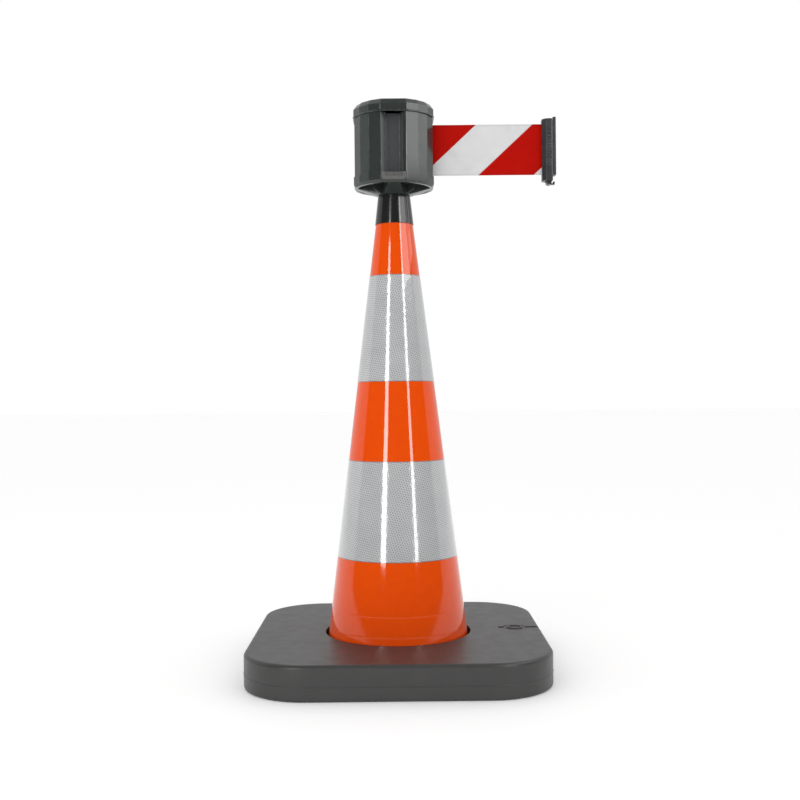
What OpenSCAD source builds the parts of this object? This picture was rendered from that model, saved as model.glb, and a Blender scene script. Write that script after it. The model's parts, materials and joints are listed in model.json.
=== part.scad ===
// Traffic cone barrier post: a banded cone standing in a ballast base, with a
// retractable belt head on its tip. Millimetres, +Z up. The origin is on the
// ground, on the cone's axis. -Y is the front and the belt runs out along +X.

/* [Base] */
// Side of the square ballast base
base_w = 470; // [450:5:500]
// Height of the base
base_h = 53.5; // [52:0.5:60]
// Plan radius of the base's corners
corner_r = 100; // [80:5:110]
// Radius along the base's top edge
edge_r = 6; // [6:1:16]
// Wall of the hollow base
base_wall = 4; // [3:0.5:5]
// Radius of the well that the cone stands in
well_r = 118.8; // [118.8:0.2:122]
// Height of the well's floor above the ground
well_floor = 20; // [20:1:24]

/* [Fill plug] */
// Distance of the fill plug from the cone's axis along X
plug_x = 193; // [188:1:196]
// Distance of the fill plug from the cone's axis along Y
plug_y = 9; // [0:1:60]
// Radius of the plug's disc
plug_r = 18.5; // [17:0.5:20]
// Radius of the filling hole
fill_r = 14; // [12:0.5:14.5]

/* [Cone] */
// Radius that the cone's side would have at ground level
cone_foot_r = 120.5; // [119.5:0.1:120.5]
// Height of the cone's open tip above the ground
cone_top = 755; // [745:1:757]
// Radius lost for each millimetre of height
cone_taper = 0.1248; // [0.1245:0.0001:0.126]
// Wall of the cone
cone_wall = 3; // [2.5:0.5:3]
// Lower edge of the lower reflective band
band_low_z = 178; // [150:1:190]
// Height of the lower reflective band
band_low_h = 157; // [100:1:180]
// Lower edge of the upper reflective band
band_high_z = 462; // [440:1:470]
// Height of the upper reflective band
band_high_h = 173.5; // [100:0.5:200]

/* [Collar] */
// Height of the collar's lower rim above the ground
collar_z = 720; // [705:1:725]
// Outer radius of the collar's upper end
collar_top_r = 26; // [25:0.5:28]

/* [Belt head] */
// Radius to the corners of the housing
head_r = 67; // [66:0.5:68]
// Height of the head's underside above the ground
head_z = 779; // [778:1:784]
// Height of the bottom cover
cover_h = 17; // [16:1:18]
// Height of the housing between its covers
housing_h = 96; // [94:1:98]
// Height of the top cap
cap_h = 21; // [20:1:24]
// Wall of the housing
head_wall = 3; // [2.5:0.5:3]
// Depth of each receptor slot
slot_depth = 15; // [13:0.5:15]

/* [Belt] */
// Height of the belt
belt_w = 83.5; // [76:0.5:84]
// Thickness of the belt
belt_t = 0.8; // [0.5:0.1:0.8]
// Distance from the cone's axis to the clip's inner face
clip_x = 244; // [150:1:400]

/* [Hidden] */
$fn = 96;
tiny = 0.01;
sealing_gap = 0.3;
low_edge_r = 5;
bead_z = 21;
bead_h = 1.8;
bead_out = 0.5;
pocket_z = base_h - 4;
spout_z = pocket_z - 13;
plug_gap = 1;
groove_w = 9;
quarter = [0 : 3];

function cone_r(z) = cone_foot_r - cone_taper * z;

collar_end_z = 767;
collar_rim_r = cone_r(collar_z) + 1.1;
stem_r = 16;
stem_fit = 0.05;
stem_z = 732;
screw_z = 761;

cover_top = head_z + cover_h;
housing_top = cover_top + housing_h;
head_top = housing_top + cap_h;
skirt_r = head_r + 1.6;
funnel_z = collar_end_z + 0.3;
funnel_r = 25;
pocket_out_r = 60;
pocket_top = head_z + 6;
pocket_in = 28;
web_apex = 23.8;
web_slope = tan(54.7);
flat_in = cos(18);
face_r = head_r * flat_in;
slot_back = face_r - slot_depth;
belt_mid = housing_top - 49;
apron_x = face_r - 3;
apron_z = head_z + 4;
tie_r = 52;
tie_at = [for (q = quarter) 45 + 90 * q];

axle_r = 4;
axle_fit = 0.05;
hub_r = 21;
spring_r = 17.5;
flange_r = 34;
flange_t = 2;
drum_z = cover_top;
drum_top = housing_top - 4;
coil_r = 31;
feed_x = 39.5;
lip_r = 1.8;
lip_y = 2.6;
lip_x = feed_x + 3.1;

bar_z = belt_mid - 52.5;
bar_top = bar_z + 101;
pin_x = clip_x + 5.5;
screw_x = clip_x + 11.5;
neck_x = clip_x + 9;
neck_z = bar_z + 24;
neck_h = 70;
plate_z = bar_z + 9.5;
bar_end = clip_x + 17;
plate_x = clip_x + 18;
plate_end = clip_x + 22.8;
latch_x = clip_x + 11;
latch_r = 4.4;

dark = [0.22, 0.25, 0.24];
grey = [0.42, 0.42, 0.41];
orange = [0.93, 0.32, 0.02];
silver = [0.80, 0.80, 0.80];
black = [0.07, 0.07, 0.07];
red = [0.75, 0.06, 0.03];
steel = [0.62, 0.63, 0.65];

// ---- shared shapes ----

// Half section of a slab's edge, measured outward from the corner's centre
module edge_section(r, h, top_r, low_r) {
    translate([0, low_r]) square([r, h - top_r - low_r]);
    square([r - max(top_r, low_r), h]);
    if (low_r > 0) {
        translate([r - low_r, low_r]) circle(low_r);
        square([r - low_r, h / 2]);
    }
    if (top_r > 0) translate([r - top_r, h - top_r]) circle(top_r);
}

// A rounded square slab swept from children(0), its edge section
module slab(w, h, r) {
    a = w / 2 - r;
    for (q = quarter) rotate([0, 0, 90 * q]) {
        translate([a, a, 0]) rotate_extrude(angle = 90) children(0);
        rotate([90, 0, 0]) linear_extrude(2 * a, center = true)
            translate([a, 0]) children(0);
    }
    translate([-a, -a, 0]) cube([2 * a, 2 * a, h]);
}

// A ring with square section
module ring(outer, inner, h) {
    difference() {
        cylinder(h = h, r = outer);
        translate([0, 0, -1]) cylinder(h = h + 2, r = inner);
    }
}

// Plan of the head: three narrow facets between four broad ones
module head_plan(r) {
    polygon([for (q = quarter, a = [18, 36, 54, 72]) r * [cos(90 * q + a), sin(90 * q + a)]]);
}

// A head plan that narrows from its foot to its top
module head_taper(foot_r, top_r, h) {
    linear_extrude(h, scale = top_r / foot_r) head_plan(foot_r);
}

// Plan of one slot, opening towards +X, grown by g
module slot_plan(g = 0) {
    polygon([
        [face_r + 10, 20 + g], [face_r, 20 + g], [face_r - 5, 14.4 + g],
        [slot_back - g, 9.8 + g], [slot_back - g, -9.8 - g], [face_r - 5, -14.4 - g],
        [face_r, -20 - g], [face_r + 10, -20 - g]
    ]);
}

module at_ties() {
    for (a = tie_at) rotate([0, 0, a]) translate([tie_r, 0, 0]) children();
}

// ---- base ----

// The base's hollow, drawn in by gap, up to height top
module hollow(gap, top, top_r) {
    wall = base_wall + gap;
    translate([0, 0, wall]) slab(base_w - 2 * wall, top - wall, corner_r - wall)
        edge_section(corner_r - wall, top - wall, top_r, 0);
}

module plug_place() {
    translate([plug_x, plug_y, 0]) children();
}

module base_shell() color(grey) difference() {
    slab(base_w, base_h, corner_r) {
        union() {
            edge_section(corner_r, base_h, edge_r, low_edge_r);
            translate([0, bead_z]) square([corner_r + bead_out, bead_h]);
        }
    }
    difference() {
        hollow(0, base_h - base_wall, edge_r - base_wall);
        translate([0, 0, well_floor - base_wall]) cylinder(h = base_h, r = well_r + base_wall);
        plug_place() {
            translate([0, 0, pocket_z - base_wall]) cylinder(h = base_h, r = plug_r + 6);
            translate([0, 0, spout_z]) cylinder(h = base_h, r = fill_r + base_wall);
            translate([-32, -groove_w, pocket_z - base_wall - 4]) cube([100, 2 * groove_w, base_h]);
        }
    }
    translate([0, 0, well_floor]) cylinder(h = base_h, r = well_r);
    plug_place() {
        translate([0, 0, pocket_z]) cylinder(h = base_h, r = plug_r + plug_gap);
        translate([0, 0, spout_z - 1]) cylinder(h = base_h, r = fill_r);
        translate([0, -groove_w / 2, pocket_z]) cube([100, groove_w, base_h]);
        translate([-27, -groove_w / 2, pocket_z - 4]) cube([12, groove_w, base_h]);
    }
}

module ballast_fill() color([0.7, 0.65, 0.5]) difference() {
    hollow(sealing_gap, spout_z - 1, 0);
    translate([0, 0, well_floor - base_wall - sealing_gap])
        cylinder(h = base_h, r = well_r + base_wall + sealing_gap);
}

module fill_plug() color([0.36, 0.36, 0.35]) plug_place() {
    difference() {
        union() {
            translate([0, 0, pocket_z]) cylinder(h = 3.6, r = plug_r);
            translate([0, 0, pocket_z + 3]) ring(13.5, 9.5, 2.2);
            translate([0, 0, spout_z]) cylinder(h = 14, r = fill_r - 0.4);
        }
        translate([0, 0, spout_z + 6]) ring(fill_r + 1, fill_r - 1.7, 1.8);
    }
    translate([plug_r - 2, -3, pocket_z]) cube([14, 6, 2]);
}

module plug_seal() color(black) plug_place()
    translate([0, 0, spout_z + 6.9]) rotate_extrude() translate([fill_r - 0.85, 0]) circle(0.78);

// ---- cone ----

// A tapered sleeve on the cone's surface, from inner to outer proud of it
module sleeve(z, h, inner, outer) {
    rotate_extrude() polygon([
        [cone_r(z) + inner, z], [cone_r(z) + outer, z],
        [cone_r(z + h) + outer, z + h], [cone_r(z + h) + inner, z + h]
    ]);
}

module cone_shell() color(orange)
    sleeve(well_floor, cone_top - well_floor, -cone_wall, 0);

module lower_band() color(silver) sleeve(band_low_z, band_low_h, 0.05, 0.45);

module upper_band() color(silver) sleeve(band_high_z, band_high_h, 0.05, 0.45);

// ---- collar ----

module collar() color(black) difference() {
    rotate_extrude() polygon([
        [stem_r + stem_fit, stem_z], [stem_r + 4, stem_z], [stem_r + 4, cone_top],
        [cone_r(cone_top) + 0.3, cone_top], [cone_r(collar_z) + 0.3, collar_z],
        [collar_rim_r, collar_z], [collar_top_r + 0.6, collar_end_z - 1],
        [collar_top_r, collar_end_z], [stem_r + stem_fit, collar_end_z]
    ]);
    screw_place() {
        cylinder(h = 40, r = 1.75);
        translate([0, 0, 10.4]) cylinder(h = 20, r = 2.8);
    }
}

// The stem screw's axis, from the stem's groove outward to the front
module screw_place() {
    rotate([0, 0, -13]) translate([0, -stem_r + 1, screw_z]) rotate([90, 0, 0]) children();
}

module stem_screw() color(steel) screw_place() {
    cylinder(h = 10.6, r = 1.7);
    translate([0, 0, 10.5]) cylinder(h = 1.5, r = 2.6);
}

// ---- head ----

module bottom_cover() color(dark) {
    difference() {
        union() {
            translate([0, 0, head_z + 4]) linear_extrude(cover_h - 4) head_plan(skirt_r);
            translate([0, 0, head_z + 4 + tiny]) mirror([0, 0, 1])
                head_taper(skirt_r, skirt_r - 3.6, 4 + tiny);
            rotate_extrude() polygon([
                [0, funnel_z], [funnel_r, funnel_z], [pocket_out_r + 2, head_z + 0.5],
                [pocket_out_r + 2, head_z + 5], [0, head_z + 5]
            ]);
        }
        translate([0, 0, cover_top - 4]) linear_extrude(10) intersection() {
            head_plan(head_r - head_wall);
            difference() {
                circle(head_r);
                for (q = quarter) rotate([0, 0, 90 * q]) slot_plan(2.5);
            }
        }
        for (q = quarter) rotate([0, 0, 90 * q]) {
            translate([0, 0, cover_top - 9]) linear_extrude(20) slot_plan();
            translate([apron_x, -20, apron_z]) cube([20, 40, cover_h]);
            under_pocket();
        }
        cylinder(h = 2 * head_z, r = stem_r + stem_fit);
        at_ties() cylinder(h = 2 * head_z, r = 2.1);
    }
}

// One recess up into the funnel between two webs, with a thin rib standing in it
module under_pocket() {
    far = pocket_out_r + 10;
    rotate([0, 0, 45]) translate([0, 0, funnel_z]) linear_extrude(pocket_top - funnel_z) difference() {
        intersection() {
            circle(pocket_out_r);
            polygon([
                [pocket_in, (pocket_in - web_apex) * web_slope], [far, (far - web_apex) * web_slope],
                [far, (web_apex - far) * web_slope], [pocket_in, (web_apex - pocket_in) * web_slope]
            ]);
        }
        translate([pocket_in - 1, -0.7]) square([pocket_out_r - pocket_in - 12, 1.4]);
    }
}

module housing() color(dark) translate([0, 0, cover_top]) difference() {
    linear_extrude(housing_h) difference() {
        head_plan(head_r);
        difference() {
            head_plan(head_r - head_wall);
            for (q = quarter) rotate([0, 0, 90 * q]) slot_plan(2.5);
            for (a = tie_at) rotate([0, 0, a]) translate([tie_r, -5.5]) square([20, 11]);
            for (a = tie_at) rotate([0, 0, a]) translate([tie_r, 0]) circle(5.5);
        }
        for (q = quarter) rotate([0, 0, 90 * q]) slot_plan();
        for (a = tie_at) rotate([0, 0, a]) translate([tie_r, 0]) circle(2.1);
    }
    translate([slot_back - 5, -1.2, belt_mid - belt_w / 2 - 1.5 - cover_top])
        cube([10, 2.4, belt_w + 3]);
}

// A split block that closes the foot of each slot, with an apron down the cover's rim
module slot_stops() color([0.45, 0.45, 0.44]) for (q = quarter, s = [0, 1]) rotate([0, 0, 90 * q])
    mirror([0, s, 0]) difference() {
        union() {
            translate([0, 0, cover_top - 9]) linear_extrude(9) intersection() {
                difference() {
                    slot_plan(-0.15);
                    translate([face_r + 0.5, -50]) square(100);
                }
                translate([0, 0.2]) square(100);
            }
            translate([apron_x + 0.15, 0.2, apron_z + 0.15]) difference() {
                cube([face_r + 1.2 - apron_x, 19.6, cover_top - apron_z - 2]);
                translate([-1, 15.6, 0]) difference() {
                    translate([0, 0, -1]) cube([20, 6, 5]);
                    translate([-1, 0, 4]) rotate([0, 90, 0]) cylinder(h = 22, r = 4);
                }
            }
        }
        translate([face_r + 5, 0, cover_top]) rotate([-90, 0, 0]) cylinder(h = 14, r = 8);
    }

module top_cap() color(dark) difference() {
    union() {
        translate([0, 0, housing_top]) linear_extrude(2) head_plan(skirt_r + 1);
        translate([0, 0, housing_top]) linear_extrude(cap_h - 8) head_plan(skirt_r);
        translate([0, 0, head_top - 8 - tiny]) head_taper(skirt_r, skirt_r - 6, 8 + tiny);
    }
    translate([0, 0, housing_top - 1]) linear_extrude(cap_h - 4) difference() {
        head_plan(head_r - head_wall);
        for (a = tie_at) rotate([0, 0, a]) translate([tie_r, 0]) circle(5.5);
        for (q = quarter) rotate([0, 0, 90 * q]) slot_plan(2.5);
        circle(9);
    }
    at_ties() translate([0, 0, housing_top - 1]) cylinder(h = 13, r = 2.1);
    translate([0, 0, housing_top - 1]) cylinder(h = 12, r = axle_r + 0.1);
    translate([0, 0, head_top - 1.2]) cylinder(h = 5, r = 48);
}

module cover_screws() color(steel) at_ties() {
    translate([0, 0, pocket_top - 3.2]) cylinder(h = 3.2, r = 3.8);
    translate([0, 0, pocket_top - 0.5]) cylinder(h = housing_top + 9.5 - pocket_top, r = 2);
}

// ---- stem, axle and drum ----

module head_stem() color([0.2, 0.2, 0.2]) difference() {
    union() {
        translate([0, 0, stem_z]) cylinder(h = drum_z - stem_z - 2, r = stem_r);
        translate([0, 0, cover_top - 4]) ring(stem_r + 6, stem_r - 1, 3);
    }
    translate([0, 0, screw_z - 2.2]) ring(stem_r + 1, stem_r - 2, 4.4);
    translate([0, 0, head_z - 20]) cylinder(h = 50, r = axle_r);
}

module drum_axle() color(steel) difference() {
    translate([0, 0, head_z - 20]) cylinder(h = housing_top + 8 - head_z + 20, r = axle_r);
    translate([0, 0, drum_top + 0.6]) ring(axle_r + 1, axle_r - 0.7, 1.2);
}

module axle_clip() color(steel) translate([0, 0, drum_top + 0.7]) difference() {
    ring(axle_r + 3, axle_r - 0.7, 1);
    translate([0, -2, -1]) cube([20, 4, 4]);
}

module belt_guide() color([0.15, 0.15, 0.15]) {
    for (y = [-lip_y, lip_y]) translate([lip_x, y, cover_top + 1]) cylinder(h = housing_h - 2, r = lip_r);
    for (z = [cover_top + 1, belt_mid + belt_w / 2 + 1.2]) {
        translate([lip_x - 2, -6, z]) cube([slot_back - 2.5 - lip_x + 2, 12, 3.2]);
    }
}

// The belt's run from the coil's side to the guide's lips
module belt_feed() color(red) {
    r = coil_r + sealing_gap + belt_t / 2;
    a = acos(r / feed_x);
    rotate([0, 0, -a]) translate([r - belt_t / 2, 0, belt_mid - belt_w / 2])
        cube([belt_t, feed_x * sin(a) - 0.6, belt_w]);
}

module drum() color([0.85, 0.85, 0.82]) difference() {
    translate([0, 0, drum_z]) union() {
        cylinder(h = flange_t, r = flange_r);
        cylinder(h = drum_top - drum_z - flange_t - 0.2, r = hub_r);
    }
    translate([0, 0, drum_z + 4]) cylinder(h = housing_h, r = spring_r + 1);
    cylinder(h = 2 * head_z, r = axle_r + axle_fit);
}

module drum_lid() color([0.8, 0.8, 0.78]) difference() {
    translate([0, 0, drum_top - flange_t]) union() {
        cylinder(h = flange_t, r = flange_r);
        translate([0, 0, -3]) cylinder(h = 4, r = spring_r + 0.8);
    }
    cylinder(h = 2 * head_z, r = axle_r + axle_fit);
}

// A flat strip wound from the axle out to the drum's hub
module return_spring() color(steel) {
    turns = 7;
    steps = 20 * turns;
    first_r = axle_r + 0.9;
    strip = 0.6;
    pitch = (spring_r - first_r - strip) / steps;
    line = function(off) [for (i = [0 : steps]) (first_r + pitch * i + off) * [cos(18 * i), sin(18 * i)]];
    inner = line(0);
    outer = line(strip);
    translate([0, 0, drum_z + 6]) linear_extrude(housing_h - 18)
        polygon(concat(inner, [for (i = [steps : -1 : 0]) outer[i]]));
}

module belt_coil() color(red) translate([0, 0, belt_mid - belt_w / 2])
    ring(coil_r, hub_r + 0.2, belt_w);

// ---- belt and clip ----

module belt() color(red) translate([0, 0, belt_mid - belt_w / 2]) {
    translate([feed_x, -belt_t / 2, 0]) cube([pin_x - feed_x - 2.4, belt_t, belt_w]);
    translate([pin_x, 0, 0]) ring(2.6, 1.8, belt_w);
}

module bar_plan() {
    polygon([
        [clip_x, 6], [clip_x + 6, 12], [clip_x + 15, 13], [bar_end, 11],
        [bar_end, -11], [clip_x + 15, -13], [clip_x + 6, -12], [clip_x, -6]
    ]);
}

// One half of the clip's body: side -1 is the front and 1 the back
module clip_half(side) difference() {
    intersection() {
        union() {
            translate([0, 0, bar_z]) linear_extrude(bar_top - bar_z) bar_plan();
            for (z = [bar_z + 24 : 5 : bar_top - 22]) {
                translate([clip_x + 7, -13.2, z]) cube([7, 26.4, 1.6]);
            }
        }
        translate([clip_x - 5, side < 0 ? -50 : 0, 0]) cube([100, 50, 1000]);
    }
    translate([pin_x, 0, belt_mid - belt_w / 2 - 1]) cylinder(h = belt_w + 2, r = 3);
    translate([clip_x - 1, -0.8, belt_mid - belt_w / 2 - 1]) cube([6, 1.6, belt_w + 2]);
    translate([neck_x, -3.1, neck_z]) cube([20, 6.2, neck_h]);
    translate([latch_x - latch_r - 0.3, -7.2, bar_z - 1]) cube([2 * latch_r + 0.6, 14.4, 9]);
    translate([latch_x, 0, bar_z + 7]) cylinder(h = 9.5, r = 2.5);
    clip_screw_places() {
        cylinder(h = 60, r = 1.3, center = true);
        translate([0, 0, -20]) cylinder(h = 10, r = 3);
    }
}

// Screw axes across the clip, +Z of each pointing to the front
module clip_screw_places() {
    for (z = [belt_mid - 20, belt_mid + 20]) translate([screw_x, 0, z]) rotate([90, 0, 0]) children();
}

module clip_front() color(dark) clip_half(-1);

module clip_back() color(dark) clip_half(1);

module clip_tongue() color([0.1, 0.1, 0.1]) {
    difference() {
        union() {
            translate([plate_x, -8, plate_z]) cube([plate_end - plate_x, 16, 95]);
            translate([neck_x + 0.3, -3, neck_z + 0.2]) cube([plate_x - neck_x, 6, neck_h - 0.4]);
            for (z = [plate_z, bar_top - 6]) translate([bar_end, -8, z]) cube([2, 16, 3.5]);
        }
        clip_screw_places() cylinder(h = 60, r = 1.3, center = true);
    }
}

module clip_screws() color(steel) clip_screw_places() {
    translate([0, 0, -10.1]) cylinder(h = 20, r = 1.25);
    translate([0, 0, -12.2]) cylinder(h = 2.2, r = 2.6);
}

module belt_pin() color(steel)
    translate([pin_x, 0, belt_mid - belt_w / 2 - 0.8]) cylinder(h = belt_w + 1.6, r = 1.7);

module latch() color([0.12, 0.12, 0.12]) {
    intersection() {
        translate([latch_x, 7, bar_z - 2]) rotate([90, 0, 0]) cylinder(h = 14, r = latch_r);
        translate([0, -50, 0]) cube([1000, 100, bar_z]);
    }
    translate([latch_x - latch_r, -7, bar_z - 2]) cube([2 * latch_r, 14, 6]);
    translate([latch_x, -4, bar_z - 5.7]) cube([9, 8, 1.6]);
    translate([latch_x + 7.2, -4, bar_z - 5.7]) cube([2.6, 8, 4.6]);
}

module latch_spring() color(steel) translate([latch_x, 0, bar_z + 4]) ring(2.2, 1.4, 12);

base_shell();
ballast_fill();
fill_plug();
plug_seal();
cone_shell();
lower_band();
upper_band();
collar();
stem_screw();
bottom_cover();
housing();
slot_stops();
top_cap();
cover_screws();
head_stem();
drum_axle();
axle_clip();
belt_guide();
belt_feed();
drum();
drum_lid();
return_spring();
belt_coil();
belt();
clip_front();
clip_back();
clip_tongue();
clip_screws();
belt_pin();
latch();
latch_spring();
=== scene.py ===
"""A traffic cone barrier post: its looks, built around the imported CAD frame.

The post is a banded cone that stands in a square ballast base and carries a
retractable belt head. Lengths are in metres in the frame of the CAD model: +Z is
up, -Y is the front and the belt runs out along +X. Sizes in the dataclass fields
are in millimetres where their names end in _mm.
"""

import json
import logging
import math
from dataclasses import dataclass, replace
from enum import Enum
from functools import lru_cache
from typing import Any, Callable, Dict, List, Optional, Sequence, Tuple, Union

import bmesh
import bpy
from mathutils import Matrix, Vector, noise


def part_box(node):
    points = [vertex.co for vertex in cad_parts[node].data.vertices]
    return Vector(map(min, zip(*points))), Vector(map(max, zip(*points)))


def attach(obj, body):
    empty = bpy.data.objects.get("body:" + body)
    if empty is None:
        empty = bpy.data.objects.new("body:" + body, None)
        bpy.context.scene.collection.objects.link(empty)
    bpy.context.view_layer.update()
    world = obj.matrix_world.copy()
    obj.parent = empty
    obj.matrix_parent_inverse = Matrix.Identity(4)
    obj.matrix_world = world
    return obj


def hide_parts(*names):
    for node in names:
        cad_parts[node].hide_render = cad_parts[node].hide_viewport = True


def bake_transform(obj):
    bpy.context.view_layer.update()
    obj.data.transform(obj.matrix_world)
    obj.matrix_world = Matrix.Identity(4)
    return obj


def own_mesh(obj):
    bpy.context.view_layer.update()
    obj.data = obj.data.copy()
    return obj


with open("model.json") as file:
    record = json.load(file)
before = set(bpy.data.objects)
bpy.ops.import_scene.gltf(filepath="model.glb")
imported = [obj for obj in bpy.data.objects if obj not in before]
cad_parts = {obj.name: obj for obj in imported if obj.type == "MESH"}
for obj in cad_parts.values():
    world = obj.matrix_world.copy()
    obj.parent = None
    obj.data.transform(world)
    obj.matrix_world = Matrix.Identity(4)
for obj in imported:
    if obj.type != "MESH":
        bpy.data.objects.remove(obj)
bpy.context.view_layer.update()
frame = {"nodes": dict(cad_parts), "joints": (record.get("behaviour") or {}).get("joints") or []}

LOG = logging.getLogger("barrier_post")
MM = 0.001
WELD = 1e-6  # points closer than this are one point
SLIVER = 2e-5  # edges shorter than this are left out before edges are rounded
FLAT = 0.4  # faces that turn by fewer degrees than this are one face

Point = Tuple[float, float]
Triple = Tuple[float, float, float]
Number = Union[int, float]
Operand = Union["Value", Number]
Form = bpy.types.Object


# ---- shader expressions ----


class Value:
    """One output socket of a shader that takes part in Python arithmetic."""

    def __init__(self, shader: "Shader", socket: bpy.types.NodeSocket) -> None:
        """Keeps the socket and the shader that it belongs to."""
        self.shader = shader
        self.socket = socket

    def _math(self, operation: str, *operands: Operand) -> "Value":
        """Adds one Math node.

        Args:
            operation: The Math node's operation.
            operands: Its inputs in order.

        Returns:
            The node's result.
        """
        settings = {"operation": operation}
        return self.shader.value("ShaderNodeMath", settings, dict(enumerate(operands)))

    def __add__(self, other: Operand) -> "Value":
        """The sum."""
        return self._math("ADD", self, other)

    __radd__ = __add__

    def __sub__(self, other: Operand) -> "Value":
        """The difference."""
        return self._math("SUBTRACT", self, other)

    def __rsub__(self, other: Operand) -> "Value":
        """The difference from a number."""
        return self._math("SUBTRACT", other, self)

    def __mul__(self, other: Operand) -> "Value":
        """The product."""
        return self._math("MULTIPLY", self, other)

    __rmul__ = __mul__

    def __truediv__(self, other: Operand) -> "Value":
        """The quotient."""
        return self._math("DIVIDE", self, other)

    def __abs__(self) -> "Value":
        """The size without its sign."""
        return self._math("ABSOLUTE", self)

    def least(self, other: Operand) -> "Value":
        """The smaller of two values."""
        return self._math("MINIMUM", self, other)

    def most(self, other: Operand) -> "Value":
        """The larger of two values."""
        return self._math("MAXIMUM", self, other)

    def root(self) -> "Value":
        """The square root."""
        return self._math("SQRT", self)

    def sine(self) -> "Value":
        """The sine of an angle in radians."""
        return self._math("SINE", self)

    def cosine(self) -> "Value":
        """The cosine of an angle in radians."""
        return self._math("COSINE", self)

    def bearing(self, across: "Value") -> "Value":
        """The angle whose sine is this value and whose cosine is the other."""
        return self._math("ARCTAN2", self, across)

    def fraction(self) -> "Value":
        """What is left above the whole number."""
        return self._math("FRACT", self)

    def step(self, low: float, high: float) -> "Value":
        """A smooth step from 0 at low to 1 at high; high may be the smaller number."""
        settings = {"interpolation_type": "SMOOTHSTEP"}
        sockets = {"Value": self, "From Min": low, "From Max": high}
        return self.shader.value("ShaderNodeMapRange", settings, sockets)

    def band(self, middle: float, half_width: float) -> "Value":
        """1 at the middle, fading to 0 at half_width to either side."""
        return abs(self - middle).step(half_width, 0.0)


class Shader:
    """A material's node tree, written as expressions."""

    def __init__(self, name: str) -> None:
        """Makes an empty material."""
        self.material = bpy.data.materials.new(name)
        self.material.use_nodes = True
        self.tree = self.material.node_tree
        self.tree.nodes.clear()
        self.point = self.node("ShaderNodeTexCoord").outputs["Object"]
        parts = self.node("ShaderNodeSeparateXYZ", sockets={0: Value(self, self.point)})
        self.x, self.y, self.z = (Value(self, part) for part in parts.outputs)

    def node(
        self,
        kind: str,
        settings: Optional[Dict[str, Any]] = None,
        sockets: Optional[Dict[Any, Any]] = None,
    ) -> bpy.types.Node:
        """Adds a node.

        Args:
            kind: The node's type.
            settings: Its own settings, set before its sockets.
            sockets: Numbers, colours or values by socket name or index.

        Returns:
            The new node.
        """
        node = self.tree.nodes.new(kind)
        for name, setting in (settings or {}).items():
            setattr(node, name, setting)
        for key, item in (sockets or {}).items():
            if isinstance(item, Value):
                self.tree.links.new(item.socket, node.inputs[key])
            else:
                node.inputs[key].default_value = item
        return node

    def value(
        self,
        kind: str,
        settings: Optional[Dict[str, Any]] = None,
        sockets: Optional[Dict[Any, Any]] = None,
        output: Union[int, str] = 0,
    ) -> Value:
        """Adds a node as node() does and returns one of its outputs as a value."""
        return Value(self, self.node(kind, settings, sockets).outputs[output])

    def noise(self, size: float, detail: float = 2.0, at: Optional[Value] = None) -> Value:
        """Soft noise from 0 to 1.

        Args:
            size: How far apart its patches are, in metres.
            detail: How many finer layers it has.
            at: Where it is read; the piece's own place if left out.

        Returns:
            The noise.
        """
        place = at or Value(self, self.point)
        sockets = {"Vector": place, "Scale": 1 / size, "Detail": detail}
        return self.value("ShaderNodeTexNoise", None, sockets)

    def cells(self, size: float, at: Optional[Value] = None) -> Value:
        """The distance to the middle of the nearest cell of that size, in cells."""
        place = at or Value(self, self.point)
        return self.value("ShaderNodeTexVoronoi", None, {"Vector": place, "Scale": 1 / size})

    def vector(self, x: Operand, y: Operand, z: Operand) -> Value:
        """A vector from three values."""
        return self.value("ShaderNodeCombineXYZ", None, {0: x, 1: y, 2: z})

    def stored(self, name: str) -> Value:
        """A number that the mesh holds by that name."""
        return self.value("ShaderNodeAttribute", {"attribute_name": name}, None, "Fac")

    def mix(self, share: Operand, low: Any, high: Any) -> Value:
        """A colour between two colours, each a value or red, green and blue."""
        ends = [end if isinstance(end, Value) else (*end, 1.0) for end in (low, high)]
        sockets = {0: share, 6: ends[0], 7: ends[1]}
        return self.value("ShaderNodeMix", {"data_type": "RGBA"}, sockets, 2)

    def shade(self, colour: Union[Value, Triple], factor: Value) -> Value:
        """A colour made lighter or darker by a factor."""
        settings = {"operation": "SCALE"}
        return self.value("ShaderNodeVectorMath", settings, {0: colour, "Scale": factor})

    def relief(self, height: Value, depth: float) -> Value:
        """The normal of a surface whose height varies by depth metres."""
        return self.value("ShaderNodeBump", None, {"Height": height, "Distance": depth})

    def finish(self, **sockets: Any) -> bpy.types.Material:
        """Closes the tree with a Principled shader.

        Args:
            sockets: Its sockets, named with underscores for spaces.

        Returns:
            The finished material.
        """
        named = {key.replace("_", " "): item for key, item in sockets.items()}
        surface = self.node("ShaderNodeBsdfPrincipled", None, named)
        output = self.node("ShaderNodeOutputMaterial")
        self.tree.links.new(surface.outputs[0], output.inputs["Surface"])
        return self.material


# ---- finishes ----


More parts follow.
